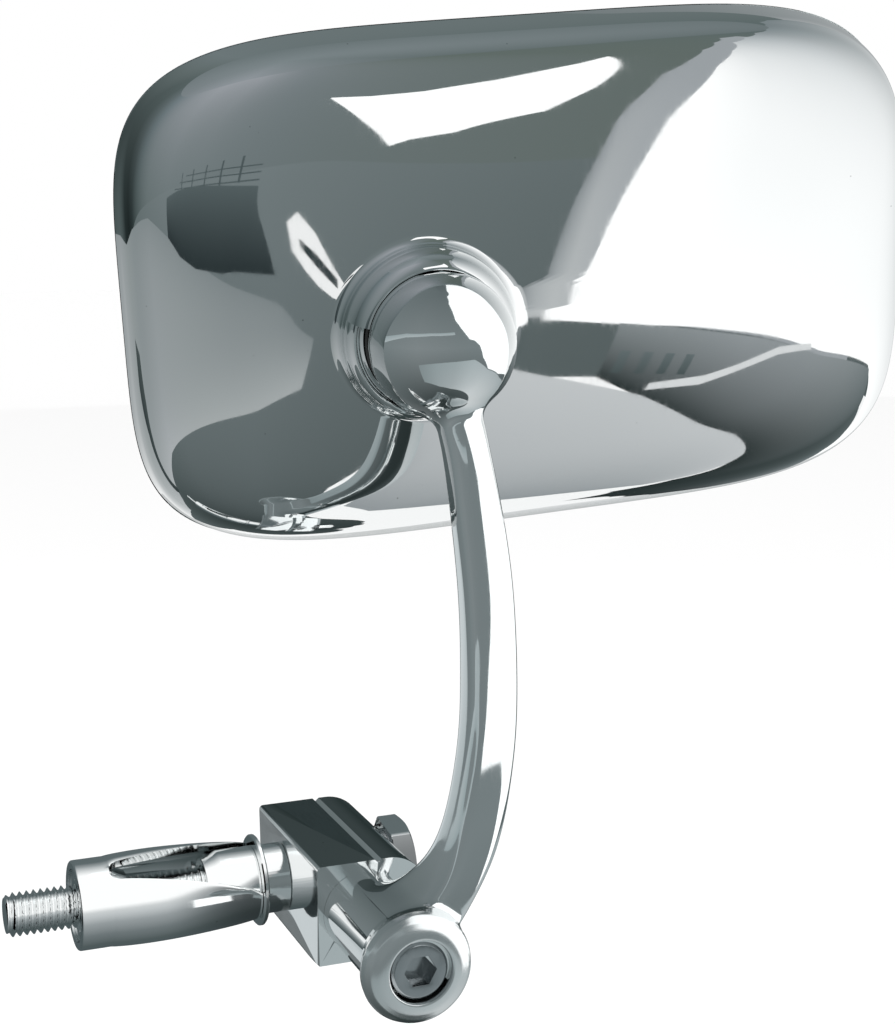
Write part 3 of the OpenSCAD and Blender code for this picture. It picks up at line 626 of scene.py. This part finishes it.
room_lining, room_gauze = lining("room_lining", False), lining("room_gauze", True)
head_pieces = ("pressed_shell", "convex_glass", "rubber_gasket", "foam_pad")
all_pieces = [o for o in bpy.context.scene.objects if o.type == "MESH" and o.name != "floor"]
by_head = lit_group("lit_for_the_head", [o for o in all_pieces if o.name in head_pieces])
bar_pieces = ("expander_bolt_threaded", "slotted_sleeve", "threaded_plug", "cone_bush_turned",
    "flange_washer_turned", "spacer_turned")
by_bar = lit_group("lit_for_the_bar_end", [o for o in all_pieces if o.name in bar_pieces])
by_fittings = lit_group("lit_for_the_fittings",
    [o for o in all_pieces if o.name not in head_pieces + bar_pieces])


# A window glows this far above white, so that the plating, which takes a fifth of it, still shows white.
GLOW = 1.25


def hang_panel(name, grid, tones, cloth, group):
    """A glowing panel over a grid of points in metres, seen only in the plating of one group of pieces."""
    index = np.arange(grid.size // 3).reshape(grid.shape[:2])
    quads = np.stack([index[:-1, :-1], index[:-1, 1:], index[1:, 1:], index[1:, :-1]], -1).reshape(-1, 4)
    mesh = bpy.data.meshes.new(name)
    mesh.from_pydata(grid.reshape(-1, 3), [], quads)
    mesh.color_attributes.new("tone", "FLOAT_COLOR", "POINT").data.foreach_set("color",
        tones.astype(np.float32).ravel())
    mesh.materials.append(cloth)
    panel = bpy.data.objects.new(name, mesh)
    bpy.context.scene.collection.objects.link(panel)
    panel.visible_camera = panel.visible_diffuse = panel.visible_shadow = False
    panel.light_linking.receiver_collection = group


def tones_at(codes, places, at):
    """The tones of hex colours given at places, read in linear light at others."""
    table = np.array([linear(code) for code in codes])
    return np.stack([np.interp(at, places, table[:, i]) for i in range(4)], -1)


def room_panel(name, layer, azimuth, low, high, tone_low, tone_high, gain=1.0, across=360, group=by_head):
    """A curved panel of the room between two elevations, each a function of azimuth, in degrees.
    Azimuth 0 looks back along -Y and 90 along +X. Its tone runs from the low edge to the high edge."""
    az = np.linspace(azimuth[0], azimuth[-1], across)
    v = np.linspace(0, 1, 60)[:, None]
    low_el, high_el = np.interp(az, azimuth, low), np.interp(az, azimuth, high)
    el = np.radians(low_el + (high_el - low_el) * v)
    a = np.radians(az)[None] + 0 * el
    radius = (3.0 if group is by_head else 2.4) - 0.06 * layer
    middle = np.array([0.06, -0.01, 0.1])
    grid = middle + radius * np.stack([np.cos(el) * np.sin(a), -np.cos(el) * np.cos(a), np.sin(el)], -1)
    at_low, at_high = tones_at(tone_low, azimuth, az)[None], tones_at(tone_high, azimuth, az)[None]
    tones = (at_low + (at_high - at_low) * v[..., None]) * [gain, gain, gain, 1]
    hang_panel(name, grid, tones, room_lining if group is by_head else room_gauze, group)


def same(value, count):
    """The same tone or angle for each of count points."""
    return [value] * count


# The room as the head sees it: grey walls, a tall window and a wide one, the ground and the house front.
room_panel("lining_upper", 0, [-180, -165, -150, -135, -115, -90, -60, -30, -12, 0, 20, 60, 110, 150, 180],
    same(-8, 15), same(60, 15),
    ["7A8486", "525E5E", "202929", "1A2222", "2C3636", "515D5D", "6E797A", "788284", "788284", "747E80",
     "68726F", "68726F", "68726F", "707A7A", "747E80"],
    ["737E80", "6A7575", "5E6A6A", "5C6868", "687375", "79858A", "8F969B", "A4A8AE", "A0A4AA", "848C90",
     "68736F", "647070", "647070", "6C7778", "737E80"])
room_panel("lining_top", 0, [-180, -90, -20, 20, 90, 180], same(60, 6), same(90, 6),
    ["737E80", "838B8F", "9AA0A6", "6C7778", "747E80", "737E80"], same("848E91", 6))
room_panel("lining_lower", 0, [-180, -90, -30, 0, 20, 90, 180], same(-90, 7), same(-8, 7),
    same("333C3C", 7), ["6A7475", "6A7576", "7A8486", "7A8486", "687273", "566162", "6A7475"])
room_panel("pale_ground_left", 1, [-180, -165, -150, -120, -100, -60, -20, 0, 4],
    [-30, -44, -54, -57, -54, -40, -34, -31, -30], [-4, -3, -5, -7, -9, -12, -20, -23, -25],
    ["FFFFFF", "E0E2E3", "C8CCCD", "B8BCBE", "B8BCBE", "B6BABD", "B0B5B6", "B0B5B6", "B0B5B6"],
    ["E8EAEA", "9AA0A2", "949B9C", "8C9496", "8A9294", "8A9294", "8A9294", "868E90", "868E90"])
room_panel("dark_strip_left", 2, [-150, -135, -125, -118, -112, -104, -97],
    [-11, -20, -32, -45, -53, -56, -55], [-9, -12, -17, -25, -35, -47, -53], same("343D3E", 7),
    same("4A5454", 7))
room_panel("pale_ground_right", 1, [10.8, 12, 13, 14, 17, 22, 32, 45, 60, 90, 120, 138, 150, 165, 180],
    [-52, -58, -61, -63, -65, -67, -69, -72, -75, -77, -76, -70, -65, -60, -58],
    [-46, -41, -37, -32, *same(-30, 11)], same("F4F4F4", 15), same("F4F4F4", 15), 1.2)
room_panel("window_right", 2, [18.4, 19, 20, 21, 22.5, 26, 32, 42, 58, 80, 100, 116, 124, 128],
    [-25.5, -25.5, -25.5, -25.5, -25.5, -25.2, -25, -24.5, -24, -33, -39.5, -40, -38, -36],
    [-25, -15, -5, 3, 15, 28, 42, 51, 58, 60.5, 60, 57, 52, 46], same("FFFFFF", 14),
    ["FFFFFF", "FFFFFF", "FFFFFF", "FFFFFF", "F4F4F4", "D8DADB", "BCC0C2", "A5ABAE", "8A9194", "7E878A",
     "747D80", "747D80", "747D80", "747D80"], GLOW)
room_panel("wall_behind_right", 1, [127, 135, 150, 165, 180], [-60, -60, -58, -50, -44],
    [46, 44, 40, 30, 16], ["F4F4F4", "E0E2E3", "D8DADA", "E0E1E1", "F4F4F4"],
    ["A8ACAE", "8E9496", "7C8486", "747E80", "6E787A"])
room_panel("window_tall", 2, [4, 6, 7, 9, 10, 12, 13, 15, 16.3, 17.5, 18.3],
    [13.5, 5, 1, -6, -5, -4, -2.6, 0, 8, 20, 30.5],
    [14, 13, 12.5, 12.7, 13, 15.6, 17, 21.6, 24.7, 28.6, 31], same("FFFFFF", 11), same("FFFFFF", 11), GLOW)
room_panel("window_reveal", 1, [16.8, 17.3, 18, 19, 21, 24, 30, 38, 44], same(-25.3, 9),
    [-24, -12, 0, 12, 20, 31, 43, 52, 54], ["A8ADB0", "BCC0C2", "C8CBCC", "B8BCBF", *same("A6ABAF", 5)],
    ["8A9092", "8E9598", *same("A6ABAF", 7)])
room_panel("shade_right", 4, [22, 30, 45, 60, 72, 95, 115, 128, 136, 140],
    [-30, -36, -48, -60, -65, -67, -62, -56, -48, -38],
    [-25.4, -25.4, -25, -24.4, -33, -39, -40, -36, -31.5, -35], same("2A3333", 10),
    ["8A9193", "9AA0A3", "8E9597", "7A8385", "5A6465", "606A6B", "6E787A", "7E8688", "8A9092", "9AA0A2"])
room_panel("light_strip", 5, [25, 28, 30, 33, 36], [-31.4, -30.6, -29, -26.6, -25],
    [-30.6, -29.6, -28.2, -25.8, -24.4], same("E4E6E7", 5), same("E4E6E7", 5))
for step, az in enumerate((22.6, 23.8, 25.0, 26.2)):
    room_panel(f"far_windows_{step}", 5, [az, az + 0.5], [-29.6, -29.6], [-27.6, -27.6], same("4E595A", 2),
        same("687375", 2), across=4)
room_panel("grey_lobe", 5, [13.5, 17, 25, 35, 45, 52, 60], [-36, -56, -61, -61, -62, -62, -61.5],
    [-30.5, -28.8, -32, -38.5, -47, -54, -61], same("9AA0A3", 7), same("CED1D3", 7))
room_panel("far_houses", 3, [-30, -22, -14, -6, 0], [-18, -20.5, -21.5, -21.5, -20.5],
    [-10, -9, -9, -10, -11], same("2E3739", 5), same("5A6567", 5))
for step, el in enumerate((-8.6, -7.2, -5.8)):
    room_panel(f"tile_row_{step}", 3, [-24 + 3 * step, 0], [el, el - 1.5], [el + 0.25, el - 1.25],
        same("505B5D", 2), same("505B5D", 2))
for step, az in enumerate((-20, -15, -10.5, -6.5, -3)):
    room_panel(f"tile_line_{step}", 3, [az, az + 0.35], [-10, -10], [-4.5, -4.5], same("505B5D", 2),
        same("505B5D", 2), across=4)
room_panel("white_pipe", 3, [2.2, 3.2, 4.4, 5.6, 6.6], [-17.6, -19.4, -21, -22, -22.4],
    [-14.8, -13.6, -15.4, -18.4, -20.6], same("FFFFFF", 5), same("FFFFFF", 5))
room_panel("pipe_shade", 4, [3.0, 4.4, 6.0], [-17, -19, -21], [-16.2, -17.6, -20], same("3A4446", 3),
    same("3A4446", 3))

# The room as the arm and the block see it: each panel adds its light to the dark cloth behind.
room_panel("fittings_low", 0, [-180, -165, -150, -120, -60, 0, 30, 60, 120, 145, 180], same(-90, 11),
    same(0, 11), same("343C3C", 11),
    ["8A9092", "8A9193", "7E8789", "808A8C", "8A9294", "828B8D", "808A8C", "848C8F", "6A7476", "2A3434",
     "3A4446"], group=by_fittings)
room_panel("fittings_high", 0, [-180, -165, -150, -120, -60, 0, 30, 60, 120, 145, 180], same(0, 11),
    same(90, 11),
    ["5A6466", "6E7879", "7E8789", "808A8C", "8A9294", "828B8D", "808A8C", "848C8F", "6A7476", "2A3434",
     "2A3434"], same("6A7476", 11), group=by_fittings)
room_panel("fittings_window", 1, [5, 15, 22, 30, 38, 45, 60, 90, 115, 128, 140, 152],
    [42, 24, 12, 9, 2, -14, -27, -28, -22, -4, 26, 34], [70, 76, 80, 82, 82, 82, 82, 82, 82, 80, 76, 66],
    same("FFFFFF", 12), same("F4F4F4", 12), 1.2, group=by_fittings)
room_panel("fittings_ground", 2, [-60, -30, 0, 30, 60, 100, 130, 150],
    [-50, -60, -64, -64, -64, -64, -62, -50], [-24, -22, -20, -17, -28, -29, -24, -16],
    ["6A7476", "8E9597", "A0A5A7", "B8BCBE", "CCCFD0", "D0D2D3", "C8CBCC", "A0A5A7"],
    ["4A5456", "6A7476", "7A8284", "8E9597", "989EA0", "989EA0", "889092", "707A7C"], group=by_fittings)
room_panel("fittings_side", 1, [-172, -165, -157, -151], [-28, -28, -24, -20], [4, 6, 2, -3],
    ["8A9092", "B4B8BA", "B4B8BA", "8A9092"], ["8A9092", "B4B8BA", "B4B8BA", "8A9092"], group=by_fittings)
room_panel("fittings_left", 1, [-150, -140, -120, -80, -40, 0], [-4, -2, 3, 14, 19, 20],
    [0, 3, 9, 19, 23, 24], same("8A9092", 6), same("6A7476", 6), group=by_fittings)


def tent_panel(name, radius, start, end, steps, tones, lift=0.0, dim=0.0):
    """A strip of a small round tent about the bar's axis: x from start to end in mm and, in degrees,
    the angle up from the front; each angle has its tone. Between x 20 and 48 mm the tones move up by
    lift degrees, and those below the bright part are dimmed by the share dim."""
    x = np.linspace(start, end, 60)[:, None]
    along = np.clip((x - 20) / 28, 0, 1)
    along = along * along * (3 - 2 * along)
    fine = np.linspace(steps[0], steps[-1], 300)[None]
    angle = np.radians(fine)
    grid = np.stack(np.broadcast_arrays(x, -radius * np.cos(angle), radius * np.sin(angle)), -1) * MM
    moved = fine - lift * along * np.clip((110 - fine) / 50, 0, 1)
    glow = tones_at(tones, steps, moved)
    shade = GLOW * (1 - dim * along * np.clip((10 - moved) / 20, 0, 1))
    glow[..., :3] *= shade[..., None]
    hang_panel(name, grid, glow, room_gauze, by_bar)


tent_panel("tent_over_the_bar", 50, -70, 140,
    [-175, -120, -100, -62, -30, -12, -2, 8, 90, 106, 120, 134, 185],
    ["4A5456", "4A5456", "4F595A", "6D7577", "959B9D", "BCC0C2", "CCCFD0", "FFFFFF", "FFFFFF", "CCCFD0",
     "949A9C", "5E686A", "566062"], 34.0, 0.62)
tent_panel("tent_window", 49, 30, 41, [-24, -6], same("FFFFFF", 2))

world = bpy.data.worlds.new("white_surround")
bpy.context.scene.world = world
world.use_nodes = True
surround = world.node_tree.nodes["Background"].inputs
surround["Color"].default_value, surround["Strength"].default_value = (1, 1, 1, 1), 1.0

key = bpy.data.lights.new("soft_key", "AREA")
key.energy, key.size = 12.0, 1.2
key_lamp = bpy.data.objects.new("soft_key", key)
key_lamp.location = (-0.9, -0.9, 1.6)
key_lamp.rotation_euler = (math.radians(42), 0, math.radians(-45))
key_lamp.visible_glossy = False
bpy.context.scene.collection.objects.link(key_lamp)

# ---- Camera ----
# A long lens at the left of the part and a little above it, level with the photograph's view.
lens = bpy.data.cameras.new("camera")
lens.lens, lens.sensor_width, lens.sensor_fit = 70.31, 36.0, "AUTO"
camera = bpy.data.objects.new("camera", lens)
azimuth, pitch_down, roll_angle = np.radians([-20.77, 10.0, -0.86])
forward = np.array([-np.sin(azimuth) * np.cos(pitch_down), np.cos(azimuth) * np.cos(pitch_down),
    -np.sin(pitch_down)])
right = np.array([np.cos(azimuth), np.sin(azimuth), 0])
up = np.cross(right, forward)
right_r = np.cos(roll_angle) * right + np.sin(roll_angle) * up
up_r = -np.sin(roll_angle) * right + np.cos(roll_angle) * up
place_matrix = np.eye(4)
place_matrix[:3, :3] = np.stack([right_r, up_r, -forward], 1)
place_matrix[:3, 3] = [-0.06104, -0.34745, 0.1325]
camera.matrix_world = Matrix(place_matrix.tolist())
lens.clip_start, lens.clip_end = 0.01, 50
bpy.context.scene.collection.objects.link(camera)
bpy.context.scene.camera = camera
bpy.context.scene.view_settings.view_transform = "Standard"
